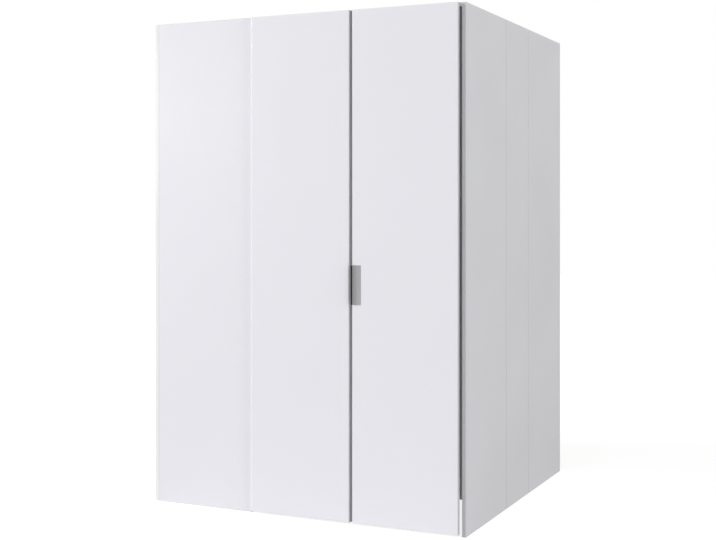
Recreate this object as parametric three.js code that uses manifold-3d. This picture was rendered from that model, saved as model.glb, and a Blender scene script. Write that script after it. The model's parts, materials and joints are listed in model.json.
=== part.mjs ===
// A walk-in corner wardrobe with a fixed front panel, two hinged doors, side boards in three widths and
// an open floor. Millimetres, +Z up. The front faces -Y, and the origin is on the floor at the middle of
// the overall box. Most sizes below are given in the carcass frame: x from its left outer face, y from
// the front edges of its side boards, z from the floor.

import * as THREE from 'three';
import { mergeVertices } from 'three/addons/utils/BufferGeometryUtils.js';
import Module from 'manifold-3d';

const wasm = await Module();
wasm.setup();

// Carcass
const wardrobeHeight = 2360;
const frontSideBoardDepth = 570;
const middleSideBoardDepth = 357;
const rearSideBoardDepth = 585;
const fixedFrontWidth = 551; // of the fixed panel with the side board's front edge beside it
const boardThickness = 19;
const edgeBevel = 1.5;
const fitGap = 0.3; // between two pieces that lie against each other

// Doors
const doorWidth = 514;
const doorThickness = 22;
const doorMeetingGap = 17; // between the two doors
const doorReveal = 9.5; // from a door's hinged edge to the carcass beside it
const doorStandOff = 4; // from the carcass front to a door's back face
const doorFloorGap = 11;
const doorTopDrop = 1.5;
const doorGapStripWidth = 38;
const doorGapStripReach = 12; // how far the strip goes past the left door's edge
const doorGapStripThickness = 2.5;

// Hinged sides
const hingePostDepth = 100;
const hingeStripWidth = 90;
const hingeStripThickness = 19;
const hingeStripSetback = 20; // behind the carcass front
const hingeStripFloorGap = 160;

// Concealed hinges
const hingesPerDoor = 4;
const hingeEndDistance = 190; // from a door's end to the nearest hinge
const hingeAxisOutset = 4.5; // from a door's edge to its turning axis, away from the door
const hingeAxisSetback = 3.5; // from a door's back face to its turning axis
const cupRadius = 17.2;
const cupWall = 1;
const cupDepth = 12;
const cupEdgeDistance = 22.5; // from the door's edge to the cup's centre
const cupFlangeLength = 62;
const cupFlangeWidth = 19;
const cupFlangeThickness = 1.2;
const cupScrewSpacing = 48;
const cupScrewRadius = 3.6;
const cupScrewHeadHeight = 1.4;
const boreClearance = 0.3;
const linkLength = 16;
const linkThickness = 4;
const linkPinRadius = 1.8;
const linkPinDepth = 5; // below the door's back face
const linkPinOffset = 6; // from the cup's centre towards the door's edge
const armBaseLength = 60;
const armHeight = 12;
const armTailHeight = 6;
const armWidth = 15;
const armCheek = 2.4;
const armNoseReach = 28; // from the door's edge
const armNoseLength = 13;
const armNoseDepth = 7;
const armNoseSlotDepth = 15;
const armSetback = 1; // from the hinge strip's front edge
const plateLength = 24;
const plateSpan = 54;
const plateThickness = 2.6;
const plateScrewSpacing = 40;
const plateScrewRadius = 4;
const plateScrewHeadHeight = 1.6;
const plateSetback = 24; // from the arm's front end
const linkWidth = armWidth - 2 * armCheek - 2 * fitGap; // fills the slot between the arm's cheeks

// Handle
const handleHeight = 180;
const handleBottom = 1010; // above the floor
const handleWidth = 42;
const handleLipRise = 14; // from the door's front to the lip's front
const handlePlateThickness = 2;
const handleFlatWidth = 12; // the part that lies on the door
const handleCurveSteps = 10;
const gripBeadWidth = 5.6;
const gripBeadWall = 1;
const handleScrewSpacing = 120;
const handleScrewInset = 36; // from the door's edge
const handleScrewRadius = 2;
const handleScrewHeadRadius = 4.2;
const handleScrewHeadHeight = 2.2;

// Base rails and back
const baseRailHeight = 80;
const backPanelThickness = 8;
const backPanelInset = 2; // from the rear edges of the side boards
const backPanelFloorGap = 4;
const joiningProfileWidth = 20;
const joiningProfileWall = 1.5;

// Inside fittings
const fittingDepth = 480; // of the shelves and the partition
const shelfBayWidth = 430;
const shelfBayCount = 5;
const topCompartmentHeight = 342; // the clear height above the hat shelves
const leftShelfPostGap = 2.7; // between the left hat shelf and the hinge post
const railSectionLength = 30;
const railSectionWidth = 15;
const railWall = 1.2;
const railDrop = 45; // from the hat shelf's underside to the rail's middle
const socketWall = 2.5;
const socketDepth = 14;
const socketPlateThickness = 3;
const socketPlateMargin = 6;
const hangerDepth = 12;
const supportTubeRadius = 12.5;
const supportTubeWall = 1.5;
const supportTubeInset = 22; // from the hat shelf's corner
const supportFlangeRadius = 30;
const supportFlangeThickness = 3;

const roundFaces = 24;
const smallRoundFaces = 12;
const cutOverrun = 1; // how far a cutting body goes past what it cuts

// Places worked out from the sizes above, in the carcass frame
const carcassDepth = frontSideBoardDepth + middleSideBoardDepth + rearSideBoardDepth;
const leftDoorEdge = fixedFrontWidth + doorReveal;
const rightDoorEdge = leftDoorEdge + 2 * doorWidth + doorMeetingGap;
const rightSideInner = rightDoorEdge + doorReveal;
const wardrobeWidth = rightSideInner + boardThickness;
const doorBack = -doorStandOff;
const doorFront = doorBack - doorThickness;
const doorTop = wardrobeHeight - doorTopDrop;
const doorHeight = doorTop - doorFloorGap;
const topBoardUnderside = wardrobeHeight - boardThickness;
const backPanelFront = carcassDepth - backPanelInset - backPanelThickness;
const fittingFront = backPanelFront - fittingDepth;
const fittingRear = backPanelFront - joiningProfileWall - 2 * fitGap;
const hatShelfHeight = topBoardUnderside - topCompartmentHeight - boardThickness;
const leftShelfWidth = fixedFrontWidth - 2 * boardThickness - fitGap - leftShelfPostGap;
const partitionLeft = rightSideInner - shelfBayWidth - boardThickness;
const handleEdge = rightDoorEdge - doorWidth;

const colours = { lacquer: 0xe9e8ee, back: 0xe4e3e8, steel: 0xb9bbbe, nickel: 0xa3a3a5, black: 0x202022 };

function material(colour, roughness, metalness = 0) {
  return new THREE.MeshStandardMaterial({ color: colour, roughness, metalness });
}

const lacquer = () => material(colours.lacquer, 0.5);
const backBoard = () => material(colours.back, 0.6);
const steel = () => material(colours.steel, 0.35, 1);
const satinNickel = () => material(colours.nickel, 0.3, 1);
const blackPlastic = () => material(colours.black, 0.5);

// Joining and cutting of closed geometries

function toSolid(geometry) {
  const bare = geometry.clone();
  bare.deleteAttribute('normal');
  bare.deleteAttribute('uv');
  const merged = mergeVertices(bare);
  return new wasm.Manifold(new wasm.Mesh({
    numProp: 3,
    vertProperties: new Float32Array(merged.attributes.position.array),
    triVerts: new Uint32Array(merged.index.array),
  }));
}

function toGeometry(solid) {
  const mesh = solid.getMesh();
  const geometry = new THREE.BufferGeometry();
  geometry.setAttribute('position', new THREE.BufferAttribute(mesh.vertProperties, mesh.numProp));
  geometry.setIndex(new THREE.BufferAttribute(mesh.triVerts, 1));
  geometry.computeVertexNormals();
  return geometry;
}

function join(geometries) {
  return toGeometry(geometries.map(toSolid).reduce((whole, next) => whole.add(next)));
}

function cut(geometry, tools) {
  return toGeometry(tools.map(toSolid).reduce((rest, tool) => rest.subtract(tool), toSolid(geometry)));
}

// Basic forms

function block(low, high) {
  const size = high.map((value, i) => value - low[i]);
  const middle = high.map((value, i) => (value + low[i]) / 2);
  return new THREE.BoxGeometry(...size).translate(...middle);
}

function shapeOf(points) {
  return new THREE.Shape(points.map(([x, y]) => new THREE.Vector2(x, y)));
}

// An outline drawn across one axis and extruded along it from low to high.
function extrudeAlong(axis, shape, low, high, curveSegments = smallRoundFaces) {
  const across = { x: ['y', 'z'], y: ['z', 'x'], z: ['x', 'y'] }[axis];
  const unit = { x: [1, 0, 0], y: [0, 1, 0], z: [0, 0, 1] };
  const basis = [across[0], across[1], axis].map((name) => new THREE.Vector3(...unit[name]));
  const geometry = new THREE.ExtrudeGeometry(shape, { depth: high - low, bevelEnabled: false, curveSegments });
  return geometry.translate(0, 0, low).applyMatrix4(new THREE.Matrix4().makeBasis(...basis));
}

function cylinderAlong(axis, radius, centre, low, high, faces = roundFaces) {
  const length = high - low;
  const geometry = new THREE.CylinderGeometry(radius, radius, length, faces);
  if (axis === 'x') geometry.rotateZ(-Math.PI / 2);
  if (axis === 'z') geometry.rotateX(Math.PI / 2);
  const middle = new THREE.Vector3(...centre);
  middle[axis] = low + length / 2;
  return geometry.translate(middle.x, middle.y, middle.z);
}

function bevelledOutline([left, right], [bottom, top]) {
  return shapeOf([
    [left + edgeBevel, bottom],
    [right - edgeBevel, bottom],
    [right, bottom + edgeBevel],
    [right, top - edgeBevel],
    [right - edgeBevel, top],
    [left + edgeBevel, top],
    [left, top - edgeBevel],
    [left, bottom + edgeBevel],
  ]);
}

// A board between two corners. Its four long edges run along the given axis and are bevelled.
function board(low, high, axis) {
  const [first, second, along] = { x: [1, 2, 0], y: [2, 0, 1], z: [0, 1, 2] }[axis];
  const outline = bevelledOutline([low[first], high[first]], [low[second], high[second]]);
  return extrudeAlong(axis, outline, low[along], high[along]);
}

function piece(name, geometry, finish) {
  const mesh = new THREE.Mesh(geometry, finish);
  mesh.name = name;
  return mesh;
}

// Carcass

function sideBoards() {
  const depths = [
    ['front', 0, frontSideBoardDepth],
    ['middle', frontSideBoardDepth, frontSideBoardDepth + middleSideBoardDepth],
    ['rear', frontSideBoardDepth + middleSideBoardDepth, carcassDepth],
  ];
  const sides = [
    ['left', 0, boardThickness],
    ['right', rightSideInner, wardrobeWidth],
  ];
  return sides.flatMap(([side, inner, outer]) => depths.map(([place, front, rear]) => {
    const low = [inner, front, 0];
    const high = [outer, place === 'rear' ? rear : rear - fitGap, wardrobeHeight];
    return piece(`side_board_${place}_${side}`, board(low, high, 'z'), lacquer());
  }));
}

// The front top board has a notch at its front left corner, which the fixed panel fills.
function topBoards() {
  const left = boardThickness + fitGap;
  const right = rightSideInner - fitGap;
  const middleStart = frontSideBoardDepth;
  const rearStart = middleStart + middleSideBoardDepth;
  const frontBoard = board([left, 0, topBoardUnderside], [right, middleStart - fitGap, wardrobeHeight], 'x');
  const notch = block(
    [left - cutOverrun, -cutOverrun, topBoardUnderside - cutOverrun],
    [fixedFrontWidth + fitGap, boardThickness + fitGap, wardrobeHeight + cutOverrun],
  );
  const middleBoard = board(
    [left, middleStart, topBoardUnderside],
    [right, rearStart - fitGap, wardrobeHeight],
    'x',
  );
  const rearBoard = board(
    [left, rearStart, topBoardUnderside],
    [right, backPanelFront - fitGap, wardrobeHeight],
    'x',
  );
  return [
    piece('top_board_front', cut(frontBoard, [notch]), lacquer()),
    piece('top_board_middle', middleBoard, lacquer()),
    piece('top_board_rear', rearBoard, lacquer()),
  ];
}

function fixedPanel() {
  return piece(
    'fixed_front_panel',
    board([boardThickness + fitGap, 0, 0], [fixedFrontWidth, boardThickness, wardrobeHeight], 'z'),
    lacquer(),
  );
}

function hingePost() {
  const front = boardThickness + fitGap;
  const low = [fixedFrontWidth - boardThickness, front, 0];
  const high = [fixedFrontWidth, front + hingePostDepth, topBoardUnderside - fitGap];
  return piece('hinge_post', board(low, high, 'z'), lacquer());
}

function hingeStrips() {
  const front = hingeStripSetback;
  const rear = front + hingeStripWidth;
  const top = topBoardUnderside - fitGap;
  const strips = [
    ['left', fixedFrontWidth + fitGap, fixedFrontWidth + hingeStripThickness],
    ['right', rightSideInner - hingeStripThickness, rightSideInner - fitGap],
  ];
  return strips.map(([side, left, right]) => (
    piece(`hinge_strip_${side}`, board([left, front, hingeStripFloorGap], [right, rear, top], 'z'), lacquer())
  ));
}

function baseRails() {
  const frontLow = [boardThickness + fitGap, boardThickness + fitGap, 0];
  const frontHigh = [fixedFrontWidth - boardThickness - fitGap, 2 * boardThickness, baseRailHeight];
  const rearLow = [boardThickness + fitGap, backPanelFront - fitGap - boardThickness, 0];
  const rearHigh = [rightSideInner - fitGap, backPanelFront - fitGap, baseRailHeight];
  return [
    piece('base_rail_front', board(frontLow, frontHigh, 'x'), lacquer()),
    piece('base_rail_rear', board(rearLow, rearHigh, 'x'), lacquer()),
  ];
}

// Three back panels side by side, and the two H-shaped profiles that hold their edges together.
function back() {
  const names = ['left', 'middle', 'right'];
  const gaps = names.length - 1;
  const clearWidth = rightSideInner - boardThickness - 2 * fitGap;
  const spacing = joiningProfileWall + 2 * fitGap;
  const panelWidth = (clearWidth - gaps * spacing) / names.length;
  const rear = backPanelFront + backPanelThickness;
  const panels = names.map((name, i) => {
    const left = boardThickness + fitGap + i * (panelWidth + spacing);
    const sheet = block([left, backPanelFront, backPanelFloorGap], [left + panelWidth, rear, wardrobeHeight]);
    return piece(`back_panel_${name}`, sheet, backBoard());
  });
  const profiles = names.slice(0, gaps).map((name, i) => {
    const centre = boardThickness + fitGap + (i + 1) * panelWidth + (i + 1 / 2) * spacing;
    return piece(`back_joining_profile_${i + 1}`, joiningProfile(centre), material(colours.lacquer, 0.6));
  });
  return [...panels, ...profiles];
}

function joiningProfile(centre) {
  const bottom = baseRailHeight + fitGap;
  const top = topBoardUnderside - fitGap;
  const halfWidth = joiningProfileWidth / 2;
  const halfWeb = joiningProfileWall / 2;
  const front = backPanelFront - fitGap;
  const rear = backPanelFront + backPanelThickness + fitGap;
  const flanges = [
    block([centre - halfWidth, front - joiningProfileWall, bottom], [centre + halfWidth, front, top]),
    block([centre - halfWidth, rear, bottom], [centre + halfWidth, rear + joiningProfileWall, top]),
  ];
  const web = block([centre - halfWeb, front - halfWeb, bottom], [centre + halfWeb, rear + halfWeb, top]);
  return join([web, ...flanges]);
}

// Inside fittings

function partition() {
  const low = [partitionLeft, fittingFront, 0];
  const high = [partitionLeft + boardThickness, fittingRear, topBoardUnderside - fitGap];
  const plain = board(low, high, 'z');
  const railNotch = block(
    [partitionLeft - cutOverrun, backPanelFront - fitGap - boardThickness - fitGap, -cutOverrun],
    [partitionLeft + boardThickness + cutOverrun, carcassDepth, baseRailHeight + fitGap],
  );
  return piece('partition', cut(plain, [railNotch]), lacquer());
}

function bayShelves() {
  const left = partitionLeft + boardThickness + fitGap;
  const right = rightSideInner - fitGap;
  const lowest = baseRailHeight + fitGap;
  const spacing = (topBoardUnderside - lowest) / shelfBayCount;
  return Array.from({ length: shelfBayCount }, (_, i) => {
    const bottom = lowest + i * spacing;
    const shelf = board([left, fittingFront, bottom], [right, fittingRear, bottom + boardThickness], 'x');
    return piece(`bay_shelf_${i + 1}`, shelf, lacquer());
  });
}

function hatShelves() {
  const top = hatShelfHeight + boardThickness;
  const rearLow = [boardThickness + fitGap, fittingFront, hatShelfHeight];
  const rearHigh = [partitionLeft - fitGap, fittingRear, top];
  const leftLow = [boardThickness + fitGap, boardThickness + fitGap, hatShelfHeight];
  const leftHigh = [boardThickness + fitGap + leftShelfWidth, fittingFront - fitGap, top];
  return [
    piece('hat_shelf_rear', board(rearLow, rearHigh, 'x'), lacquer()),
    piece('hat_shelf_left', board(leftLow, leftHigh, 'y'), lacquer()),
  ];
}

// An oval with its long side upright, drawn in the two axes across a rail.
function ovalOutline(centreAcross, centreUp, margin, swapped) {
  const halfWidth = railSectionWidth / 2 + margin;
  const straight = (railSectionLength - railSectionWidth) / 2;
  const shape = new THREE.Shape();
  if (swapped) {
    shape.absarc(centreUp + straight, centreAcross, halfWidth, -Math.PI / 2, Math.PI / 2);
    shape.absarc(centreUp - straight, centreAcross, halfWidth, Math.PI / 2, (3 * Math.PI) / 2);
  } else {
    shape.absarc(centreAcross, centreUp + straight, halfWidth, 0, Math.PI);
    shape.absarc(centreAcross, centreUp - straight, halfWidth, Math.PI, 2 * Math.PI);
  }
  return shape;
}

function ovalTube(axis, across, up, low, high) {
  const swapped = axis === 'y';
  const shape = ovalOutline(across, up, 0, swapped);
  shape.holes.push(ovalOutline(across, up, -railWall, swapped));
  return extrudeAlong(axis, shape, low, high);
}

// A socket for a rail's end: a plate with a collar that goes round the rail.
function railSocket(axis, across, up, plateAt, direction) {
  const swapped = axis === 'y';
  const inner = plateAt + direction * socketPlateThickness;
  const end = plateAt + direction * socketDepth;
  const collar = ovalOutline(across, up, fitGap + socketWall, swapped);
  collar.holes.push(ovalOutline(across, up, fitGap, swapped));
  const plate = ovalOutline(across, up, socketWall + socketPlateMargin, swapped);
  const overlap = direction * socketPlateThickness / 2;
  return join([
    extrudeAlong(axis, plate, Math.min(plateAt, inner), Math.max(plateAt, inner)),
    extrudeAlong(axis, collar, Math.min(inner - overlap, end), Math.max(inner - overlap, end)),
  ]);
}

// The rear rail runs between the left side boards and the partition.
function rearRail() {
  const across = (fittingFront + fittingRear) / 2;
  const up = hatShelfHeight - railDrop;
  const left = boardThickness + fitGap;
  const right = partitionLeft - fitGap;
  const inset = socketPlateThickness + fitGap;
  return [
    piece('rear_rail', ovalTube('x', across, up, left + inset, right - inset), steel()),
    piece('rear_rail_socket_left', railSocket('x', across, up, left, 1), steel()),
    piece('rear_rail_socket_right', railSocket('x', across, up, right, -1), steel()),
  ];
}

// The left rail hangs from the left hat shelf on two hangers that go round it.
function leftRail() {
  const across = boardThickness + leftShelfWidth / 2;
  const up = hatShelfHeight - railDrop;
  const front = 2 * boardThickness + fitGap;
  const rear = fittingFront - boardThickness;
  const hangers = [['front', front + socketDepth], ['rear', rear - socketDepth - hangerDepth]];
  return [
    piece('left_rail', ovalTube('y', across, up, front, rear), steel()),
    ...hangers.map(([name, start]) => piece(`left_rail_hanger_${name}`, railHanger(across, up, start), steel())),
  ];
}

function railHanger(across, up, start) {
  const ring = ovalOutline(across, up, fitGap + socketWall, true);
  ring.holes.push(ovalOutline(across, up, fitGap, true));
  const shelfFace = hatShelfHeight - fitGap;
  const ringTop = up + railSectionLength / 2 + fitGap + socketWall / 2;
  const halfStem = railSectionWidth / 2;
  const halfPlate = halfStem + socketPlateMargin;
  const end = start + hangerDepth;
  return join([
    extrudeAlong('y', ring, start, end),
    block([across - halfStem, start, ringTop], [across + halfStem, end, shelfFace]),
    block([across - halfPlate, start, shelfFace - socketPlateThickness], [across + halfPlate, end, shelfFace]),
  ]);
}

// The tube that carries the inner corner of the two hat shelves.
function supportTube() {
  const centre = [
    boardThickness + fitGap + leftShelfWidth - supportFlangeRadius - supportTubeInset,
    fittingFront - supportFlangeRadius - supportTubeInset,
    0,
  ];
  const top = hatShelfHeight - fitGap;
  const outer = cylinderAlong('z', supportTubeRadius, centre, 0, top);
  const flanges = [
    cylinderAlong('z', supportFlangeRadius, centre, 0, supportFlangeThickness),
    cylinderAlong('z', supportFlangeRadius, centre, top - supportFlangeThickness, top),
  ];
  const bore = cylinderAlong(
    'z', supportTubeRadius - supportTubeWall, centre, -cutOverrun, top - supportFlangeThickness,
  );
  return piece('support_tube', cut(join([outer, ...flanges]), [bore]), steel());
}

// Concealed hinges. Their outlines are drawn from the door's back corner at its hinged edge:
// inwards along the door's back, and rearwards from it. hand is 1 where inwards is +x.

function hingeHeights() {
  const first = doorFloorGap + hingeEndDistance;
  const step = (doorHeight - 2 * hingeEndDistance) / (hingesPerDoor - 1);
  return Array.from({ length: hingesPerDoor }, (_, i) => first + i * step);
}

function hingeCup(edge, hand, height) {
  const centreX = edge + hand * cupEdgeDistance;
  const profile = [
    [0, -cupDepth],
    [cupRadius, -cupDepth],
    [cupRadius, cupFlangeThickness],
    [cupRadius - cupWall, cupFlangeThickness],
    [cupRadius - cupWall, cupWall - cupDepth],
    [0, cupWall - cupDepth],
  ].map(([x, y]) => new THREE.Vector2(x, y));
  const cup = new THREE.LatheGeometry(profile, roundFaces).translate(centreX, doorBack, height);
  const flangeShape = new THREE.Shape();
  const halfWidth = cupFlangeWidth / 2;
  const roundEnd = cupFlangeLength / 2 - halfWidth;
  flangeShape.absarc(height + roundEnd, centreX, halfWidth, -Math.PI / 2, Math.PI / 2);
  flangeShape.absarc(height - roundEnd, centreX, halfWidth, Math.PI / 2, (3 * Math.PI) / 2);
  const flangeFace = doorBack + fitGap;
  const flangeTop = doorBack + cupFlangeThickness;
  const flange = extrudeAlong('y', flangeShape, flangeFace, flangeTop);
  const mouth = cylinderAlong(
    'y', cupRadius - cupWall / 2, [centreX, 0, height], doorBack - cutOverrun, flangeTop + cutOverrun,
  );
  const screws = [-1, 1].map((side) => cylinderAlong(
    'y', cupScrewRadius, [centreX, 0, height + side * cupScrewSpacing / 2],
    flangeFace, flangeTop + cupScrewHeadHeight, smallRoundFaces,
  ));
  const pinCentre = [centreX - hand * linkPinOffset, doorBack - linkPinDepth, height];
  const pinReach = Math.sqrt(cupRadius ** 2 - linkPinOffset ** 2) - cupWall / 2;
  const pin = cylinderAlong('z', linkPinRadius, pinCentre, height - pinReach, height + pinReach, smallRoundFaces);
  const linkStart = pinCentre[1] - linkPinRadius / 2;
  const link = block(
    [pinCentre[0] - linkThickness / 2, linkStart, height - linkWidth / 2],
    [pinCentre[0] + linkThickness / 2, linkStart + linkLength, height + linkWidth / 2],
  );
  return join([cup, cut(flange, [mouth]), ...screws, pin, link]);
}

function hingeArm(edge, hand, height) {
  const baseStart = doorStandOff + hingeStripSetback + armSetback;
  const baseEnd = baseStart + armBaseLength;
  const noseFront = cupFlangeThickness + fitGap;
  const noseStart = armNoseReach - armNoseLength;
  const stripFace = hingeStripThickness - doorReveal;
  const seat = stripFace + fitGap;
  const profile = [
    [seat, baseStart],
    [seat, baseEnd],
    [stripFace + armTailHeight, baseEnd],
    [stripFace + armHeight, baseStart + armNoseDepth],
    [armNoseReach, noseFront + armNoseDepth],
    [armNoseReach, noseFront],
    [noseStart, noseFront],
  ].map(([inwards, rearwards]) => [edge + hand * inwards, doorBack + rearwards]);
  const lever = extrudeAlong('z', shapeOf(profile), height - armWidth / 2, height + armWidth / 2);
  const slotSides = [noseStart - armCheek, armNoseReach + cutOverrun].map((inwards) => edge + hand * inwards);
  const slotHalf = armWidth / 2 - armCheek;
  const slot = block(
    [Math.min(...slotSides), doorBack, height - slotHalf],
    [Math.max(...slotSides), doorBack + armNoseSlotDepth, height + slotHalf],
  );
  const plateFront = doorBack + baseStart + plateSetback;
  const plateSides = [seat, seat + plateThickness].map((inwards) => edge + hand * inwards);
  const plate = block(
    [Math.min(...plateSides), plateFront, height - plateSpan / 2],
    [Math.max(...plateSides), plateFront + plateLength, height + plateSpan / 2],
  );
  const screwSides = [seat, seat + plateThickness + plateScrewHeadHeight].map((inwards) => edge + hand * inwards);
  const screws = [-1, 1].map((side) => cylinderAlong(
    'x', plateScrewRadius, [0, plateFront + plateLength / 2, height + side * plateScrewSpacing / 2],
    Math.min(...screwSides), Math.max(...screwSides), smallRoundFaces,
  ));
  return join([cut(lever, [slot]), plate, ...screws]);
}

function hingeArms(side, edge, hand) {
  return hingeHeights().map((height, i) => (
    piece(`hinge_arm_${side}_${i + 1}`, hingeArm(edge, hand, height), steel())
  ));
}

function hingeCups(side, edge, hand) {
  return hingeHeights().map((height, i) => (
    piece(`hinge_cup_${side}_${i + 1}`, hingeCup(edge, hand, height), steel())
  ));
}

// Doors

function cupBores(edge, hand) {
  return hingeHeights().map((height) => cylinderAlong(
    'y', cupRadius + boreClearance, [edge + hand * cupEdgeDistance, 0, height],
    doorBack - cupDepth - boreClearance, doorBack + cutOverrun,
  ));
}

function doorLeaf(edge, hand) {
  const sides = [edge, edge + hand * doorWidth];
  return board([Math.min(...sides), doorFront, doorFloorGap], [Math.max(...sides), doorBack, doorTop], 'z');
}

function leftDoor() {
  const leaf = cut(doorLeaf(leftDoorEdge, 1), cupBores(leftDoorEdge, 1));
  return [
    piece('door_left', leaf, lacquer()),
    piece('door_gap_strip', doorGapStrip(), lacquer()),
    ...hingeCups('left', leftDoorEdge, 1),
  ];
}

// The strip on the left door's back that closes the gap between the doors.
function doorGapStrip() {
  const right = leftDoorEdge + doorWidth + doorGapStripReach;
  const back = doorBack + fitGap;
  return block([right - doorGapStripWidth, back, doorFloorGap], [right, back + doorGapStripThickness, doorTop]);
}

function rightDoor() {
  const leaf = cut(doorLeaf(rightDoorEdge, -1), [...cupBores(rightDoorEdge, -1), ...handleScrewHoles()]);
  return [
    piece('door_right', leaf, lacquer()),
    ...hingeCups('right', rightDoorEdge, -1),
    ...handle(),
  ];
}

// Handle: a bent plate whose lip stands proud at the door's free edge and whose other side lies on the
// door. Its section is drawn from the door's front corner: inwards along the door, and forwards from it.

const handleBendStart = handleWidth - handleFlatWidth;
const handleRise = handleLipRise - handlePlateThickness;
const handleRadius = (handleBendStart ** 2 + handleRise ** 2) / (2 * handleRise);
const handleSweep = Math.asin(handleBendStart / handleRadius);

// A point on the bend, turned from its start and moved forwards from the plate's back face.
function bendPoint(turn, offset) {
  return [
    handleBendStart - (handleRadius - offset) * Math.sin(turn),
    fitGap + handleRadius - (handleRadius - offset) * Math.cos(turn),
  ];
}

function handleExtrusion(section) {
  const shape = shapeOf(section.map(([inwards, forwards]) => [handleEdge + inwards, doorFront - forwards]));
  return extrudeAlong('z', shape, handleBottom, handleBottom + handleHeight);
}

function handlePlate() {
  const turns = Array.from({ length: handleCurveSteps + 1 }, (_, i) => (handleSweep * i) / handleCurveSteps);
  const front = turns.map((turn) => bendPoint(turn, handlePlateThickness));
  const back = turns.map((turn) => bendPoint(turn, 0)).reverse();
  return handleExtrusion([
    [handleWidth, fitGap],
    [handleWidth, fitGap + handlePlateThickness],
    ...front,
    ...back,
  ]);
}

// The bead that covers the lip of the handle's plate: a channel pushed over the sheet's edge.
function gripBead() {
  const start = handleSweep - gripBeadWidth / handleRadius;
  const seat = handleSweep + fitGap / handleRadius;
  const nose = handleSweep + (fitGap + gripBeadWall) / handleRadius;
  const seatFront = handlePlateThickness + fitGap;
  const front = seatFront + gripBeadWall;
  const seatBack = -fitGap;
  const back = seatBack - gripBeadWall;
  return handleExtrusion([
    bendPoint(start, front),
    bendPoint(nose, front),
    bendPoint(nose, back),
    bendPoint(start, back),
    bendPoint(start, seatBack),
    bendPoint(seat, seatBack),
    bendPoint(seat, seatFront),
    bendPoint(start, seatFront),
  ]);
}

function handleScrewPlaces() {
  const middle = handleBottom + handleHeight / 2;
  return [
    ['lower', [handleEdge + handleScrewInset, 0, middle - handleScrewSpacing / 2]],
    ['upper', [handleEdge + handleScrewInset, 0, middle + handleScrewSpacing / 2]],
  ];
}

function handleScrewHoles() {
  return handleScrewPlaces().map(([, place]) => cylinderAlong(
    'y', handleScrewRadius + boreClearance, place, doorFront - cutOverrun, doorBack + cutOverrun, smallRoundFaces,
  ));
}

function handleScrew(place) {
  const head = doorBack + fitGap;
  return join([
    cylinderAlong('y', handleScrewRadius, place, doorFront, head + fitGap, smallRoundFaces),
    cylinderAlong('y', handleScrewHeadRadius, place, head, head + handleScrewHeadHeight, smallRoundFaces),
  ]);
}

function handle() {
  return [
    piece('handle_plate', handlePlate(), satinNickel()),
    piece('handle_grip_bead', gripBead(), blackPlastic()),
    ...handleScrewPlaces().map(([name, place]) => piece(`handle_screw_${name}`, handleScrew(place), steel())),
  ];
}

// A door's group stands at its hinge axis, so that turning the group opens the door.
function hinged(name, edge, hand, pieces) {
  const group = new THREE.Group();
  group.name = name;
  group.position.set(edge - hand * hingeAxisOutset, doorBack + hingeAxisSetback, 0);
  pieces.forEach((mesh) => mesh.position.copy(group.position).negate());
  group.add(...pieces);
  return group;
}

const carcass = new THREE.Group();
carcass.add(
  ...sideBoards(),
  ...topBoards(),
  fixedPanel(),
  hingePost(),
  ...hingeStrips(),
  ...baseRails(),
  ...back(),
  partition(),
  ...bayShelves(),
  ...hatShelves(),
  ...rearRail(),
  ...leftRail(),
  supportTube(),
  ...hingeArms('left', leftDoorEdge, 1),
  ...hingeArms('right', rightDoorEdge, -1),
);

const wardrobe = new THREE.Group();
wardrobe.name = 'corner_wardrobe';
wardrobe.add(
  carcass,
  hinged('left_door', leftDoorEdge, 1, leftDoor()),
  hinged('right_door', rightDoorEdge, -1, rightDoor()),
);
const overallMiddle = new THREE.Box3().setFromObject(wardrobe).getCenter(new THREE.Vector3());
wardrobe.position.set(-overallMiddle.x, -overallMiddle.y, 0);

export default wardrobe;
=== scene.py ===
import json
import math

import bpy
from mathutils import Matrix, Vector


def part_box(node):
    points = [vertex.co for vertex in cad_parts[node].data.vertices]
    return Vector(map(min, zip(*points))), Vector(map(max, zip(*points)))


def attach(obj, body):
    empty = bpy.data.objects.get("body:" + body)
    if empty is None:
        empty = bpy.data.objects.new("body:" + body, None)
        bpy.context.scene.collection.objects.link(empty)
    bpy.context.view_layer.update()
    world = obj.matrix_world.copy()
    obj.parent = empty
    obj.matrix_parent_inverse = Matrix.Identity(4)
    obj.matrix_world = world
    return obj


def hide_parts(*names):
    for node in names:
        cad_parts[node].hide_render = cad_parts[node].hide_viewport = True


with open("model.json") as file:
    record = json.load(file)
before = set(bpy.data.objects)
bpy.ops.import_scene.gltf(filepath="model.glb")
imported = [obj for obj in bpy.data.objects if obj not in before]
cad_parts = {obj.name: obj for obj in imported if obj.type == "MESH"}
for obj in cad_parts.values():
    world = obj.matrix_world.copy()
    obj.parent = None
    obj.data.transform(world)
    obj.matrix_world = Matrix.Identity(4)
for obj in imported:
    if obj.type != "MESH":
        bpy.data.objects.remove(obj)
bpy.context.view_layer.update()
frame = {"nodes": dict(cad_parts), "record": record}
mm = 0.001


# Camera: the photograph's viewing angle. It stands level, and its horizon lies above the picture's middle.
cameraSetup = {
    "place": (2.665, -5.812, 1.450),
    "turnedLeft": 25.05,  # degrees from straight on
    "lens": 61.49,
    "imageWidth": 716,
    "imageHeight": 540,
    "horizonRow": 208.34,  # pixels below the picture's top
}


def addCamera(setup):
    bpy.ops.object.camera_add(
        location=setup["place"],
        rotation=(math.radians(90), 0, math.radians(setup["turnedLeft"])),
    )
    camera = bpy.context.active_object
    camera.name = "photoCamera"
    camera.data.lens = setup["lens"]
    camera.data.shift_y = (setup["horizonRow"] - setup["imageHeight"] / 2) / setup["imageWidth"]
    bpy.context.scene.camera = camera


addCamera(cameraSetup)
print("camera placed")


# Tools for materials

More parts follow.
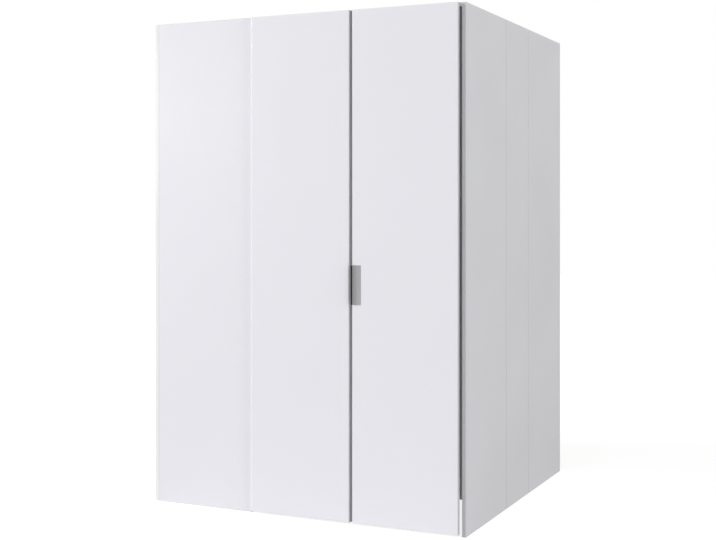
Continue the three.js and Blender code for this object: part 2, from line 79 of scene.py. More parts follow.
def srgb(hexColour):
    # a hex colour as the linear values that a socket holds
    shares = [int(hexColour[i:i + 2], 16) / 255 for i in (1, 3, 5)]
    return (*[s / 12.92 if s <= 0.04045 else ((s + 0.055) / 1.055) ** 2.4 for s in shares], 1)


def addNode(material, kind, settings=None, links=None):
    # adds a node, sets its properties or sockets, and links its sockets to other nodes' outputs
    node = material.node_tree.nodes.new(kind)
    for name, value in (settings or {}).items():
        if isinstance(name, str) and hasattr(node, name):
            setattr(node, name, value)
        else:
            node.inputs[name].default_value = value
    for name, (source, output) in (links or {}).items():
        material.node_tree.links.new(source.outputs[output], node.inputs[name])
    return node


def perMetre(sizeInMm):
    # how many times a pattern of that size repeats in a metre
    return 1 / (sizeInMm * mm)


# How all finishes are drawn
patternSetup = {
    "driftDetail": 3.0,
    "driftSpread": (0.3, 0.7),  # the noise's low and high values, between which the gloss goes from end to end
    "grainDetail": 2.0,
    "reliefStrength": 0.6,
}


def makeFinish(name, look, pattern=patternSetup):
    # a finish whose colour and gloss drift over the surface, with a fine relief as its grain
    material = bpy.data.materials.new(name)
    material.use_nodes = True
    material.node_tree.nodes.clear()
    place = addNode(material, "ShaderNodeTexCoord")
    drift = addNode(
        material, "ShaderNodeTexNoise", {"Scale": perMetre(look["driftSize"]), "Detail": pattern["driftDetail"]},
        {"Vector": (place, "Object")},
    )
    colour = addNode(
        material, "ShaderNodeMix", {"data_type": "RGBA", 6: srgb(look["colour"]), 7: srgb(look["driftColour"])},
        {0: (drift, 0)},
    )
    (low, high), (glossiest, dullest) = pattern["driftSpread"], look["roughness"]
    gloss = addNode(
        material, "ShaderNodeMapRange",
        {"From Min": low, "From Max": high, "To Min": glossiest, "To Max": dullest}, {"Value": (drift, 0)},
    )
    stretch = addNode(
        material, "ShaderNodeMapping", {"Scale": [perMetre(size) for size in look["grainSize"]]},
        {"Vector": (place, "Object")},
    )
    grain = addNode(
        material, "ShaderNodeTexNoise", {"Scale": 1.0, "Detail": pattern["grainDetail"]}, {"Vector": (stretch, 0)},
    )
    relief = addNode(
        material, "ShaderNodeBump", {"Strength": pattern["reliefStrength"], "Distance": look["grainDepth"] * mm},
        {"Height": (grain, 0)},
    )
    shader = addNode(
        material, "ShaderNodeBsdfPrincipled", look["shader"],
        {"Base Color": (colour, 2), "Roughness": (gloss, 0), "Normal": (relief, 0)},
    )
    addNode(material, "ShaderNodeOutputMaterial", links={"Surface": (shader, 0)})
    return material


# Melamine laminate on chipboard, pressed against a satin steel sheet. The eye gets an even white with a soft
# sheen that drifts a little across the board, and close up a fine pearl skin. The fronts are a cooler white
# than the carcass.
laminateLook = {
    "driftSize": 420,
    "roughness": (0.44, 0.54),
    "grainSize": (1.4, 1.4, 1.4),  # about twice as coarse as the real skin, so that a close view shows it
    "grainDepth": 0.02,
    "shader": {"IOR": 1.5},
}
frontLaminate = makeFinish("coolWhiteLaminate", {**laminateLook, "colour": "#ebeaf0", "driftColour": "#e8e7ed"})
carcassLaminate = makeFinish("whiteLaminate", {**laminateLook, "colour": "#e9e9ec", "driftColour": "#e6e6e9"})
# Extruded ABS edging, glued on and trimmed: a greyer white than the boards, which is painted shade for the edges
# that lie in the doors' shadow; glossier, with faint marks along its length.
edging = makeFinish("trimmedAbsEdging", {
    "colour": "#dddde1",
    "driftColour": "#d9d9dd",
    "driftSize": 160,
    "roughness": (0.28, 0.40),
    "grainSize": (2.0, 2.0, 40.0),
    "grainDepth": 0.03,
    "shader": {"IOR": 1.53},
})
# The same edging rounded over to a door's front, or trimmed flush: glossier, and a whiter white than the edging,
# which is painted light that shows as a fine bright line along the corner and brightens the flush edge.
paintedHighlightCorner = makeFinish("absCornerPaintedHighlight", {
    "colour": "#f4f4f6",
    "driftColour": "#f0f0f2",
    "driftSize": 160,
    "roughness": (0.13, 0.2),
    "grainSize": (2.0, 2.0, 40.0),
    "grainDepth": 0.01,
    "shader": {"IOR": 1.53},
})
# White printed paper on thin fibreboard: flatter than the laminate and without its sheen.
printedBack = makeFinish("printedBackBoard", {
    "colour": "#e6e5e9",
    "driftColour": "#e0dfe4",
    "driftSize": 260,
    "roughness": (0.55, 0.68),
    "grainSize": (2.4, 2.4, 2.4),
    "grainDepth": 0.05,
    "shader": {"IOR": 1.48},
})
# The bare side of the same fibreboard: wood fibres steamed and pressed on a wire mesh, brown and dull,
# with darker flecks of bark.
bareFibreboard = makeFinish("bareFibreboard", {
    "colour": "#a58a68",
    "driftColour": "#7d6549",
    "driftSize": 14,
    "roughness": (0.75, 0.92),
    "grainSize": (1.6, 1.6, 1.6),
    "grainDepth": 0.25,
    "shader": {"IOR": 1.45},
})
# Sawn chipboard, seen only inside bores and drilled holes: straw-coloured chips with open pores.
sawnChipboard = makeFinish("sawnChipboard", {
    "colour": "#b9996c",
    "driftColour": "#8f7048",
    "driftSize": 3,
    "roughness": (0.8, 0.95),
    "grainSize": (1.0, 1.0, 1.0),
    "grainDepth": 0.4,
    "shader": {"IOR": 1.45},
})
# Steel sheet, brushed along its length and coated with a silver-grey lacquer: a soft grey with fine streaks,
# and hardly any of a bare metal's reflections.
lacqueredSheet = makeFinish("brushedSilverLacquer", {
    "colour": "#b0b0b2",
    "driftColour": "#a8a8ab",
    "driftSize": 35,
    "roughness": (0.40, 0.50),
    "grainSize": (0.9, 0.9, 70.0),  # brush lines are about 0.1 mm apart, drawn coarser to show
    "grainDepth": 0.06,
    "shader": {"Metallic": 0.03, "Specular IOR Level": 0.2, "Anisotropic": 0.4},
})
# Pressed and nickel-plated steel of the hinges: bright, with the slight waviness of rolled sheet.
platedSteel = makeFinish("nickelPlatedSteel", {
    "colour": "#bdbcb8",
    "driftColour": "#aeada9",
    "driftSize": 9,
    "roughness": (0.2, 0.32),
    "grainSize": (1.2, 1.2, 1.2),
    "grainDepth": 0.03,
    "shader": {"Metallic": 1.0},
})
# Zinc-plated and blue-passivated screws: duller and cooler than the nickel.
zincSteel = makeFinish("zincPlatedSteel", {
    "colour": "#b4b8bf",
    "driftColour": "#9ea3ad",
    "driftSize": 3,
    "roughness": (0.32, 0.45),
    "grainSize": (0.6, 0.6, 0.6),
    "grainDepth": 0.03,
    "shader": {"Metallic": 1.0},
})
# Chromed steel tube, polished: a mirror with faint wiping marks along it.
polishedChrome = makeFinish("polishedChrome", {
    "colour": "#cfd0d4",
    "driftColour": "#c6c7cc",
    "driftSize": 60,
    "roughness": (0.06, 0.14),
    "grainSize": (30.0, 30.0, 30.0),
    "grainDepth": 0.02,
    "shader": {"Metallic": 1.0},
})
# Extruded soft PVC of the grip bead: black and dull, with fine lines along it.
gripPlastic = makeFinish("softBlackPvc", {
    "colour": "#0a0a0b",
    "driftColour": "#111112",
    "driftSize": 18,
    "roughness": (0.6, 0.72),
    "grainSize": (0.8, 0.8, 30.0),
    "grainDepth": 0.05,
    "shader": {"IOR": 1.5, "Specular IOR Level": 0.25},
})
# Extruded white PVC of the profiles: smoother and a little warmer than the boards.
whiteProfile = makeFinish("extrudedWhitePvc", {
    "colour": "#e7e6e8",
    "driftColour": "#e2e1e4",
    "driftSize": 90,
    "roughness": (0.34, 0.44),
    "grainSize": (1.5, 1.5, 50.0),
    "grainDepth": 0.03,
    "shader": {"IOR": 1.53},
})
# The strip behind the gap between the doors: the same PVC, its light grey a painted shade that darkens the deep
# gap.
paintedShadeProfile = makeFinish("extrudedPvcPaintedShade", {
    "colour": "#c1c0c6",
    "driftColour": "#bab9bf",
    "driftSize": 90,
    "roughness": (0.4, 0.5),
    "grainSize": (1.5, 1.5, 50.0),
    "grainDepth": 0.03,
    "shader": {"IOR": 1.53},
})
print("finishes ready")


# Floor and light
stageSetup = {
    "floorSize": 40,
    "floorCells": 4,
    "floorGlow": (0.86, 0.95),  # the share of white that the camera sees on the floor whatever falls on it
    "glowReach": (3.0, 7.0),  # from the first share to the second, in metres from the middle
    "floorShade": "#a4a4a4",
    "floorColour": "#e8e8e8",
    "skyStrength": 0.30,
    "lampAim": (0, -0.4, 1.1),
    "daylight": {"place": (-17.2, -12.6, 8.0), "strength": 2.29, "angle": 24},  # degrees wide, far round the left
    "lamps": {
        "softFill": {"place": (15.8, -5.6, 1.6), "size": 8.0, "watts": 1170},
        "cornerGlow": {"place": (-1.9, -2.35, 2.0), "size": 1.0, "watts": 5.0},  # on the panel's upper left
    },
}


def backgroundSight(material):
    # 1 for rays from the camera and for those that metal or glass sends on, so both see the background
    path = addNode(material, "ShaderNodeLightPath")
    first = addNode(
        material, "ShaderNodeMath", {"operation": "MAXIMUM"},
        {0: (path, "Is Camera Ray"), 1: (path, "Is Glossy Ray")},
    )
    return addNode(
        material, "ShaderNodeMath", {"operation": "MAXIMUM"},
        {0: (first, 0), 1: (path, "Is Transmission Ray")},
    )


def addFloor(setup):
    bpy.ops.object.select_all(action="DESELECT")
    cells = setup["floorCells"]
    bpy.ops.mesh.primitive_grid_add(x_subdivisions=cells, y_subdivisions=cells, size=setup["floorSize"])
    floor = bpy.context.active_object
    floor.name = "studioFloor"
    material = bpy.data.materials.new("studioFloorPaint")
    material.use_nodes = True
    material.node_tree.nodes.clear()
    lit = addNode(material, "ShaderNodeBsdfDiffuse", {"Color": srgb(setup["floorColour"])})
    shade = addNode(material, "ShaderNodeBsdfDiffuse", {"Color": srgb(setup["floorShade"])})
    place = addNode(material, "ShaderNodeTexCoord")
    distance = addNode(
        material, "ShaderNodeVectorMath", {"operation": "LENGTH"}, {"Vector": (place, "Object")},
    )
    (near, far), (start, end) = setup["floorGlow"], setup["glowReach"]
    share = addNode(
        material, "ShaderNodeMapRange",
        {"From Min": start, "From Max": end, "To Min": near, "To Max": far}, {"Value": (distance, "Value")},
    )
    glow = addNode(material, "ShaderNodeEmission", links={"Strength": (share, 0)})
    seen = addNode(material, "ShaderNodeAddShader", links={0: (shade, 0), 1: (glow, 0)})
    floorMix = addNode(
        material, "ShaderNodeMixShader", links={0: (backgroundSight(material), 0), 1: (lit, 0), 2: (seen, 0)},
    )
    addNode(material, "ShaderNodeOutputMaterial", links={"Surface": (floorMix, 0)})
    floor.data.materials.append(material)


def addSky(setup):
    world = bpy.data.worlds.new("studioSky")
    world.use_nodes = True
    world.node_tree.nodes.clear()
    light = addNode(world, "ShaderNodeBackground", {"Strength": setup["skyStrength"]})
    white = addNode(world, "ShaderNodeBackground", {"Strength": 1.0})
    for background in (light, white):
        background.inputs["Color"].default_value = (1, 1, 1, 1)
    skyMix = addNode(
        world, "ShaderNodeMixShader", links={0: (backgroundSight(world), 0), 1: (light, 0), 2: (white, 0)},
    )
    addNode(world, "ShaderNodeOutputWorld", links={"Surface": (skyMix, 0)})
    bpy.context.scene.world = world


def addLamp(name, kind, place, aim):
    # a lamp of that kind, turned towards the aim
    place = Vector(place)
    turn = (place - Vector(aim)).to_track_quat("Z", "Y").to_euler()
    bpy.ops.object.light_add(type=kind, location=place, rotation=turn)
    lamp = bpy.context.active_object
    lamp.name = name
    return lamp.data


def addLamps(setup):
    look = setup["daylight"]
    daylight = addLamp("softDaylight", "SUN", look["place"], setup["lampAim"])
    daylight.energy = look["strength"]
    daylight.angle = math.radians(look["angle"])
    for name, look in setup["lamps"].items():
        lamp = addLamp(name, "AREA", look["place"], setup["lampAim"])
        lamp.size = look["size"]
        lamp.energy = look["watts"]


addFloor(stageSetup)
addSky(stageSetup)
addLamps(stageSetup)
bpy.context.scene.view_settings.view_transform = "Standard"
print("floor and light ready")


# Tools for modelling
meshSetup = {
    "sharpAbove": 30,  # degrees between two faces from which their edge is bevelled
    "smoothBelow": 35,  # degrees up to which faces are shaded as one
    "flatWithin": 1,  # degrees up to which a copied shape's faces are joined
    "mergeWithin": 0.01,
    "normalWeight": 50,
}


def selectOnly(*things):
    bpy.ops.object.select_all(action="DESELECT")
    for thing in things:
        thing.select_set(True)
    bpy.context.view_layer.objects.active = things[0]


def useModifier(thing, kind, **settings):
    selectOnly(thing)
    modifier = thing.modifiers.new(kind.lower(), kind)
    for name, value in settings.items():
        setattr(modifier, name, value)
    bpy.ops.object.modifier_apply(modifier=modifier.name)


def editFaces(thing, wanted, step):
    # selects the faces that are wanted and runs the step on them in edit mode
    selectOnly(thing)
    bpy.ops.object.mode_set(mode="EDIT")
    bpy.ops.mesh.select_mode(type="FACE")
    bpy.ops.mesh.select_all(action="DESELECT")
    bpy.ops.object.mode_set(mode="OBJECT")
    for face in thing.data.polygons:
        face.select = wanted(face)
    bpy.ops.object.mode_set(mode="EDIT")
    step()
    bpy.ops.object.mode_set(mode="OBJECT")


def addBlock(name, low, high):
    bpy.ops.object.select_all(action="DESELECT")
    low, high = Vector(low), Vector(high)
    bpy.ops.mesh.primitive_cube_add(size=1, location=(low + high) / 2, scale=high - low)
    return settle(name)


def addRound(name, radius, start, end, corners=32):
    # a round bar from one point to the other
    bpy.ops.object.select_all(action="DESELECT")
    start, end = Vector(start), Vector(end)
    turn = (end - start).to_track_quat("Z", "Y").to_euler()
    bpy.ops.mesh.primitive_cylinder_add(
        vertices=corners, radius=radius, depth=(end - start).length, location=(start + end) / 2, rotation=turn,
    )
    return settle(name)


def settle(name):
    # names the new primitive and puts its place into its mesh
    thing = bpy.context.active_object
    thing.name = name
    thing.data.name = name
    bpy.ops.object.transform_apply(location=True, rotation=True, scale=True)
    return thing


def softenEdges(thing, width, steps=2, setup=meshSetup):
    useModifier(
        thing, "BEVEL", width=width, segments=steps, limit_method="ANGLE",
        angle_limit=math.radians(setup["sharpAbove"]),
    )


def smoothFaces(thing, setup=meshSetup):
    # round parts look round and flat parts stay flat
    selectOnly(thing)
    bpy.ops.object.shade_smooth_by_angle(angle=math.radians(setup["smoothBelow"]))
    useModifier(thing, "WEIGHTED_NORMAL", mode="FACE_AREA", weight=setup["normalWeight"], keep_sharp=True)


def mergeCorners(setup=meshSetup):
    # joins the edited mesh's corners that share a place
    bpy.ops.mesh.select_all(action="SELECT")
    bpy.ops.mesh.remove_doubles(threshold=setup["mergeWithin"] * mm)


def cutAway(thing, cutter, inside):
    # drills or mills with the cutter, and gives what it lays bare the finish of the inside
    cutter.data.materials.append(inside)
    useModifier(
        thing, "BOOLEAN", object=cutter, operation="DIFFERENCE", solver="EXACT", material_mode="TRANSFER",
    )
    bpy.data.objects.remove(cutter)


def joinParts(name, parts):
    selectOnly(*parts)
    bpy.ops.object.join()
    whole = bpy.context.active_object
    whole.name = name
    whole.data.name = name
    return whole


def dress(thing, node):
    # the finished piece stands for that CAD node and moves with its body
    bodies = frame["record"]["behaviour"]["bodies"]
    body = next(name for name, members in bodies.items() if node in members)
    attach(thing, body)
    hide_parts(node)


# Boards: chipboard with laminate on both faces and an ABS edging all round, whose corners are rounded
boardSetup = {
    "edgingThickness": 2.4,
    "edgeRadius": 2.0,
    "edgeSteps": 3,
    "seamPlay": 1.5,  # taken off each end that meets the next board, so that the seam shows as a fine line
    "tongueRoot": 1.0,  # how deep a seam's tongue goes into the board
    "tongueShare": 1 / 3,  # of the board's thickness
    "tongueRadius": 0.3,
}


def seamEnds(node):
    # the ends that meet the next board: -1 is the front one, 1 the rear one
    if not node.startswith(("side_board", "top_board")):
        return []
    low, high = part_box(node)
    frontEnd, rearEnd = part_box("side_board_front_left")[0].y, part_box("side_board_rear_left")[1].y
    return [way for way, meets in ((-1, low.y > frontEnd + mm), (1, high.y < rearEnd - mm)) if meets]


def boardBox(node, setup):
    low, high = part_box(node)
    for way in seamEnds(node):
        end = low if way < 0 else high
        end.y -= way * setup["seamPlay"] * mm
    return low, high


def addTongues(board, node, setup=boardSetup):
    # at each seam a tongue in the middle of the board's thickness reaches the next board and keeps light out
    parts = [board]
    reach = (setup["seamPlay"] + setup["tongueRoot"]) * mm
    for way in seamEnds(node):
        low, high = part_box(node)
        if way < 0:
            high.y = low.y + reach
        else:
            low.y = high.y - reach
        thin, long = (2, 0) if node.startswith("top_board") else (0, 2)
        margin = Vector((0, 0, 0))
        margin[thin] = (high[thin] - low[thin]) * (1 - setup["tongueShare"]) / 2
        margin[long] = setup["edgeRadius"] * mm
        tongue = addBlock("tongue", low + margin, high - margin)
        softenEdges(tongue, setup["tongueRadius"] * mm)
        tongue.data.materials.append(edging)
        parts.append(tongue)
    return joinParts(board.name, parts)


# The share of a face's normal along an axis: from the first up it looks along it, below the second across it
straight = 0.999
across = 0.01


def roundFront(board, thin, frontIndex, setup):
    # rounds the front face's edges over and gives the curve its own finish, whose whiter white is a painted
    # highlight
    editFaces(
        board, lambda face: face.normal[thin] < -straight,
        lambda: bpy.ops.mesh.bevel(offset=setup["frontRadius"] * mm, segments=setup["frontSteps"], affect="EDGES"),
    )
    board.data.materials.append(paintedHighlightCorner)
    for face in board.data.polygons:
        if face.normal[thin] < -straight:
            face.material_index = frontIndex
        elif face.normal[thin] < -across:
            face.material_index = len(board.data.materials) - 1


def makeBoard(
    node, frontFinish=carcassLaminate, rearFinish=carcassLaminate, edgeFinish=edging, setup=boardSetup,
):
    low, high = boardBox(node, setup)
    size = high - low
    thin = min(range(3), key=lambda axis: size[axis])
    board = addBlock("edged_" + node, low, high)
    finishes = list(dict.fromkeys((edgeFinish, frontFinish, rearFinish)))
    for finish in finishes:
        board.data.materials.append(finish)
    frontIsRound = "frontRadius" in setup
    if frontIsRound:
        roundFront(board, thin, finishes.index(frontFinish), setup)
    editFaces(
        board, lambda face: face.normal[thin] > straight or (face.normal[thin] < -straight and not frontIsRound),
        lambda: bpy.ops.mesh.inset(thickness=setup["edgingThickness"] * mm),
    )
    for face in board.data.polygons:
        if face.select:
            face.material_index = finishes.index(frontFinish if face.normal[thin] < 0 else rearFinish)
    softenEdges(board, setup["edgeRadius"] * mm, setup["edgeSteps"])
    return board


def finishBoard(board, node):
    board = addTongues(board, node)
    smoothFaces(board)
    dress(board, node)


plainBoards = [
    "side_board_middle_left", "side_board_rear_left",
    "side_board_front_right", "side_board_middle_right",
    "top_board_middle", "top_board_rear",
    "hinge_post", "hinge_strip_left", "hinge_strip_right",
    "base_rail_front", "base_rail_rear", "hat_shelf_rear", "hat_shelf_left",
    "bay_shelf_1", "bay_shelf_2", "bay_shelf_3", "bay_shelf_4", "bay_shelf_5",
]
for node in plainBoards:
    finishBoard(makeBoard(node), node)
# The fixed panel and the side board beside it meet flush, with sharper edges, so no line shows between them
panelSetup = {**boardSetup, "edgeRadius": 1.2}
finishBoard(
    makeBoard("fixed_front_panel", frontLaminate, frontLaminate, setup=panelSetup), "fixed_front_panel",
)
flushSetup = {**boardSetup, "edgeRadius": 0.7}
# its front edge takes the corner finish, whose whiter white is painted light
finishBoard(
    makeBoard("side_board_front_left", edgeFinish=paintedHighlightCorner, setup=flushSetup), "side_board_front_left",
)

thinSetup = {**boardSetup, "edgingThickness": 0.8, "edgeRadius": 0.4, "edgeSteps": 2}
for node in ("back_panel_left", "back_panel_middle", "back_panel_right"):
    finishBoard(makeBoard(node, printedBack, bareFibreboard, bareFibreboard, thinSetup), node)
# the strip behind the door gap takes the grey of painted shade
finishBoard(makeBoard("door_gap_strip", paintedShadeProfile, paintedShadeProfile, paintedShadeProfile, thinSetup), "door_gap_strip")


# Notches, bores and holes
cutSetup = {
    "play": 0.3,  # that a notch leaves round the piece in it
    "overrun": 2.0,  # how far a cutter goes past the board
}


def notchTopBoard(setup=cutSetup):
    # the front top board leaves room for the fixed panel at its front left corner
    play, overrun = setup["play"] * mm, setup["overrun"] * mm
    board = makeBoard("top_board_front")
    boardLow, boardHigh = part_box("top_board_front")
    panelLow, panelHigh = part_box("fixed_front_panel")
    low = (boardLow.x - overrun, boardLow.y - overrun, boardLow.z - overrun)
    high = (panelHigh.x + play, panelHigh.y + play, boardHigh.z + overrun)
    cutAway(board, addBlock("notchCutter", low, high), edging)
    finishBoard(board, "top_board_front")


notchTopBoard()
print("boards made")


# Rows of holes for shelf pins, drilled in the two boards beside the shelves
holeSetup = {
    "radius": 2.5,
    "depth": 11,
    "pitch": 32,
    "startPitches": 2,  # from the lowest shelf up to the first hole
    "fromShelfEdge": 37,
    "corners": 12,
}


def drillRows(board, face, into, setup=holeSetup):
    # face is the drilled face's place along x, into is the direction of drilling, 1 or -1
    shelfLow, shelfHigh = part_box("bay_shelf_1")
    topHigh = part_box("bay_shelf_5")[1].z
    pitch = setup["pitch"] * mm
    first = shelfHigh.z + setup["startPitches"] * pitch
    count = int((topHigh - first) / pitch)
    depth = into * setup["depth"] * mm
    for row in (shelfLow.y + setup["fromShelfEdge"] * mm, shelfHigh.y - setup["fromShelfEdge"] * mm):
        drill = addRound(
            "drill", setup["radius"] * mm,
            (face - depth, row, first), (face + depth, row, first), setup["corners"],
        )
        useModifier(
            drill, "ARRAY", count=count, use_relative_offset=False, use_constant_offset=True,
            constant_offset_displace=(0, 0, pitch),
        )
        cutAway(board, drill, sawnChipboard)


def makeDrilledBoards(setup=cutSetup):
    # the two boards beside the shelves, of which the partition also stands over the rear base rail
    play, overrun = setup["play"] * mm, setup["overrun"] * mm
    partition = makeBoard("partition")
    low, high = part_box("partition")
    railLow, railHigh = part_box("base_rail_rear")
    railNotch = addBlock(
        "notchCutter", (low.x - overrun, railLow.y - play, low.z - overrun),
        (high.x + overrun, high.y + overrun, railHigh.z + play),
    )
    cutAway(partition, railNotch, edging)
    drillRows(partition, high.x, -1)
    finishBoard(partition, "partition")
    side = makeBoard("side_board_rear_right")
    drillRows(side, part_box("side_board_rear_right")[0].x, 1)
    finishBoard(side, "side_board_rear_right")


makeDrilledBoards()
print("rows of holes drilled")


# Doors: boards with bores for the hinge cups, and on the right one holes for the handle's screws
doorSetup = {
    "board": {**boardSetup, "edgingThickness": 1.2, "edgeRadius": 1.0, "frontRadius": 4.0, "frontSteps": 6},
    "hingeCount": 4,
    "boreClearance": 0.3,
    "boreCorners": 48,
    "screwHoleRadius": 2.3,
    "screwHoleCorners": 16,
}


def makeDoor(side, setup=doorSetup):
    node = "door_" + side
    door = makeBoard(node, frontLaminate, frontLaminate, setup=setup["board"])
    doorLow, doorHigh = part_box(node)
    front, back = doorLow.y - cutSetup["overrun"] * mm, doorHigh.y + cutSetup["overrun"] * mm
    clearance = setup["boreClearance"] * mm
    for number in range(1, setup["hingeCount"] + 1):
        low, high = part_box(f"hinge_cup_{side}_{number}")
        middle = (low + high) / 2
        bore = addRound(
            "cupBore", (high.x - low.x) / 2 + clearance,
            (middle.x, low.y - clearance, middle.z), (middle.x, back, middle.z), setup["boreCorners"],
        )
        cutAway(door, bore, sawnChipboard)
    if side == "right":
        for place in ("lower", "upper"):
            low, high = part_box("handle_screw_" + place)
            middle = (low + high) / 2
            hole = addRound(
                "screwHole", setup["screwHoleRadius"] * mm,
                (middle.x, front, middle.z), (middle.x, back, middle.z), setup["screwHoleCorners"],
            )
            cutAway(door, hole, sawnChipboard)
    finishBoard(door, node)


for side in ("left", "right"):
    makeDoor(side)
print("doors made")


# Handle: a sheet bent forwards to a lip, with a black bead over the lip
handleSetup = {
    "sheetThickness": 2.0,
    "flatWidth": 12.0,
    "backRise": 12.0,  # of the sheet's back face at the lip
    "bendSteps": 18,
    "edgeRadius": 0.5,
    "beadRadius": 0.4,
}


def makeHandlePlate(setup=handleSetup):
    low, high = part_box("handle_plate")
    flat = setup["flatWidth"] * mm
    rise = setup["backRise"] * mm
    bend = high.x - low.x - flat
    radius = (bend ** 2 + rise ** 2) / (2 * rise)
    sweep = math.asin(bend / radius)
    bpy.ops.object.select_all(action="DESELECT")
    bpy.ops.mesh.primitive_plane_add(
        size=1, location=(high.x - flat / 2, high.y, (low.z + high.z) / 2), rotation=(math.radians(90), 0, 0),
    )
    bpy.context.active_object.scale = (flat, high.z - low.z, 1)
    plate = settle("bent_handle_plate")
    bendStart = high.x - flat
    bpy.ops.object.mode_set(mode="EDIT")
    bpy.ops.mesh.select_mode(type="EDGE")
    bpy.ops.mesh.select_all(action="DESELECT")
    bpy.ops.object.mode_set(mode="OBJECT")
    corners = plate.data.vertices
    for edge in plate.data.edges:
        edge.select = all(abs(corners[i].co.x - bendStart) < mm for i in edge.vertices)
    bpy.ops.object.mode_set(mode="EDIT")
    bpy.ops.mesh.spin(
        steps=setup["bendSteps"], angle=-sweep, center=(bendStart, high.y - radius, 0), axis=(0, 0, 1),
    )
    mergeCorners()
    bpy.ops.mesh.normals_make_consistent(inside=False)
    bpy.ops.object.mode_set(mode="OBJECT")
    if plate.data.polygons[0].normal.y > 0:
        plate.data.flip_normals()
    useModifier(plate, "SOLIDIFY", thickness=setup["sheetThickness"] * mm, offset=1)
    softenEdges(plate, setup["edgeRadius"] * mm)
    plate.data.materials.append(lacqueredSheet)
    smoothFaces(plate)
    dress(plate, "handle_plate")


makeHandlePlate()


def roundedCopy(node, name, width, finish, steps=2):
    # a CAD node's shape with its corners softened
    source = frame["nodes"][node]
    thing = bpy.data.objects.new(name, source.data.copy())
    bpy.context.collection.objects.link(thing)
    thing.data.name = name
    thing.data.materials.clear()
    thing.data.materials.append(finish)
    selectOnly(thing)
    bpy.ops.object.mode_set(mode="EDIT")
    mergeCorners()
    bpy.ops.mesh.dissolve_limited(angle_limit=math.radians(meshSetup["flatWithin"]))
    bpy.ops.object.mode_set(mode="OBJECT")
    softenEdges(thing, width * mm, steps)
    return thing


def dressCopy(node, name, width, finish):
    thing = roundedCopy(node, name, width, finish)
    smoothFaces(thing)
    dress(thing, node)


dressCopy("handle_grip_bead", "rounded_grip_bead", handleSetup["beadRadius"], gripPlastic)
print("handle made")


# Screws: pan heads with a cross recess
screwSetup = {
    "corners": 20,
    "edgeRadius": 0.5,
    "crossWidth": 1.0,
    "crossShare": 0.62,  # of the head's radius
    "crossDepth": 0.9,
}


def addScrewHead(base, outward, radius, height, setup=screwSetup):
    base, outward = Vector(base), Vector(outward)
    top = base + outward * height * mm
    head = addRound("screwHead", radius * mm, base, top, setup["corners"])
    head.data.materials.append(zincSteel)
    softenEdges(head, setup["edgeRadius"] * mm)
    axis = max(range(3), key=lambda i: abs(outward[i]))
    for along in range(3):
        if along == axis:
            continue
        half = Vector([setup["crossWidth"] / 2] * 3)
        half[along] = radius * setup["crossShare"]
        half[axis] = setup["crossDepth"]
        cutAway(head, addBlock("crossCutter", top - half * mm, top + half * mm), zincSteel)
    return head


def copyShifted(thing, name, shift):
    twin = thing.copy()
    twin.data = thing.data.copy()
    bpy.context.collection.objects.link(twin)
    twin.name = name
    twin.data.name = name
    twin.data.transform(Matrix.Translation(shift))
    return twin


# Hinges: in the door a pressed cup with its flange and link, on the hinge strip an arm on its plate. One of
# each side is made, and copied to the other heights.
hingeSetup = {
    "edgeRadius": 0.35,
    "flangeThickness": 1.2,
    "cupScrewSpacing": 48,
    "cupScrewRadius": 3.7,
    "plateThickness": 2.6,
    "plateScrewSpacing": 40,
    "plateScrewRadius": 4.1,
    "plateScrewSetback": 24,  # from the arm's rear end
    "headHeight": 1.8,
    "adjusterRadius": 2.9,
    "adjusters": {"side": (12, 5.0), "depth": (44, 8.8)},  # from the rear end, and the arm's height there
}


def makeHingeCup(side, setup=hingeSetup):
    node = f"hinge_cup_{side}_1"
    low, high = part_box(node)
    middle = (low + high) / 2
    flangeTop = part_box("door_" + side)[1].y + setup["flangeThickness"] * mm
    parts = [roundedCopy(node, "cup", setup["edgeRadius"], platedSteel)]
    for way in (-1, 1):
        place = (middle.x, flangeTop, middle.z + way * setup["cupScrewSpacing"] / 2 * mm)
        parts.append(addScrewHead(place, (0, 1, 0), setup["cupScrewRadius"], setup["headHeight"]))
    return joinParts("pressed_" + node, parts)


def makeHingeArm(side, setup=hingeSetup):
    node = f"hinge_arm_{side}_1"
    low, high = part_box(node)
    inwards = 1 if side == "left" else -1
    seat = low.x if side == "left" else high.x
    middle = (low.z + high.z) / 2
    parts = [roundedCopy(node, "arm", setup["edgeRadius"], platedSteel)]
    for way in (-1, 1):
        place = (
            seat + inwards * setup["plateThickness"] * mm,
            high.y - setup["plateScrewSetback"] * mm,
            middle + way * setup["plateScrewSpacing"] / 2 * mm,
        )
        parts.append(addScrewHead(place, (inwards, 0, 0), setup["plateScrewRadius"], setup["headHeight"]))
    for fromEnd, height in setup["adjusters"].values():
        place = (seat + inwards * height * mm, high.y - fromEnd * mm, middle)
        parts.append(addScrewHead(place, (inwards, 0, 0), setup["adjusterRadius"], setup["headHeight"]))
    return joinParts("pressed_" + node, parts)


def makeHinges(side):
    for kind, make in (("cup", makeHingeCup), ("arm", makeHingeArm)):
        first = make(side)
        smoothFaces(first)
        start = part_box(f"hinge_{kind}_{side}_1")[0]
        for number in range(1, doorSetup["hingeCount"] + 1):
            node = f"hinge_{kind}_{side}_{number}"
            thing = first if number == 1 else copyShifted(first, "pressed_" + node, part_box(node)[0] - start)
            dress(thing, node)


for side in ("left", "right"):
    makeHinges(side)
print("hinges made")


# The handle's screws go through the door from its back
handleScrewSetup = {
    "edgeRadius": 0.3,
    "headRadius": 4.3,
    "headHeight": 2.3,
}


def makeHandleScrew(place, setup=handleScrewSetup):
    node = "handle_screw_" + place
    low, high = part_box(node)
    middle = (low + high) / 2
    base = (middle.x, high.y - setup["headHeight"] * mm, middle.z)
    shank = roundedCopy(node, "shank", setup["edgeRadius"], zincSteel, 1)
    head = addScrewHead(base, (0, 1, 0), setup["headRadius"], setup["headHeight"])
    screw = joinParts("pan_" + node, [shank, head])
    smoothFaces(screw)
    dress(screw, node)


for place in ("lower", "upper"):
    makeHandleScrew(place)


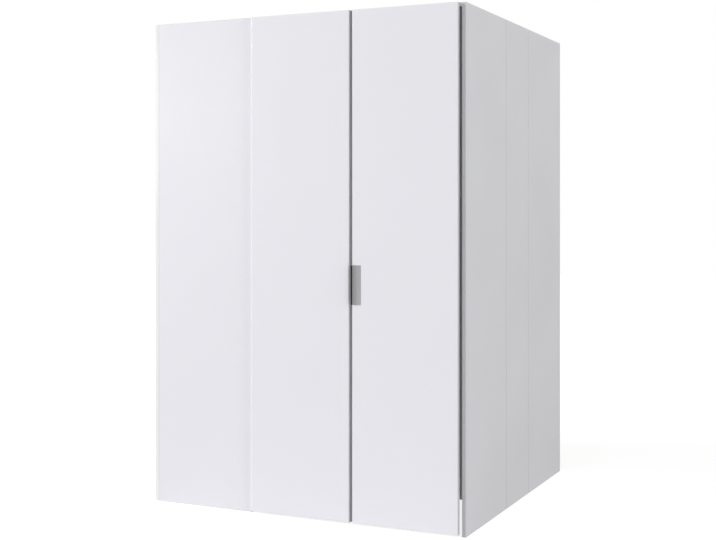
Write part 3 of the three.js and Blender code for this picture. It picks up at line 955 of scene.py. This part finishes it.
# Rails: chromed oval tubes in screwed sockets or hangers, and the round tube under the shelves' inner corner
railSetup = {
    "tubeEdge": 0.3,
    "fittingEdge": 0.8,
    "plateThickness": 3.0,
    "screwRadius": 2.4,
    "screwInset": 3.2,  # from the socket plate's end
    "flangeScrews": 3,
    "flangeScrewRadius": 3.2,
    "flangeScrewCircle": 21,
    "flangeScrewStart": 0.5,  # of the step from one screw to the next
    "headHeight": 1.2,
}


def makeSocket(side, setup=railSetup):
    node = "rear_rail_socket_" + side
    low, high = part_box(node)
    inwards = 1 if side == "left" else -1
    face = (low.x if side == "left" else high.x) + inwards * setup["plateThickness"] * mm
    parts = [roundedCopy(node, "socket", setup["fittingEdge"], polishedChrome)]
    inset = setup["screwInset"] * mm
    for height in (low.z + inset, high.z - inset):
        base = (face, (low.y + high.y) / 2, height)
        parts.append(addScrewHead(base, (inwards, 0, 0), setup["screwRadius"], setup["headHeight"]))
    socket = joinParts("cast_" + node, parts)
    smoothFaces(socket)
    dress(socket, node)


def makeSupportTube(setup=railSetup):
    low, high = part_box("support_tube")
    middle = (low + high) / 2
    parts = [roundedCopy("support_tube", "tube", setup["fittingEdge"], polishedChrome)]
    for number in range(setup["flangeScrews"]):
        turn = math.tau * (number + setup["flangeScrewStart"]) / setup["flangeScrews"]
        base = (
            middle.x + setup["flangeScrewCircle"] * mm * math.cos(turn),
            middle.y + setup["flangeScrewCircle"] * mm * math.sin(turn),
            high.z - setup["plateThickness"] * mm,
        )
        parts.append(addScrewHead(base, (0, 0, -1), setup["flangeScrewRadius"], setup["headHeight"]))
    tube = joinParts("flanged_support_tube", parts)
    smoothFaces(tube)
    dress(tube, "support_tube")


for node in ("rear_rail", "left_rail"):
    dressCopy(node, "drawn_" + node, railSetup["tubeEdge"], polishedChrome)
for node in ("left_rail_hanger_front", "left_rail_hanger_rear"):
    dressCopy(node, "cast_" + node, railSetup["fittingEdge"], polishedChrome)
for side in ("left", "right"):
    makeSocket(side)
makeSupportTube()
print("rails made")


# The profiles that join the back panels are right as they are
for node in ("back_joining_profile_1", "back_joining_profile_2"):
    profile = frame["nodes"][node]
    profile.data.materials.clear()
    profile.data.materials.append(whiteProfile)
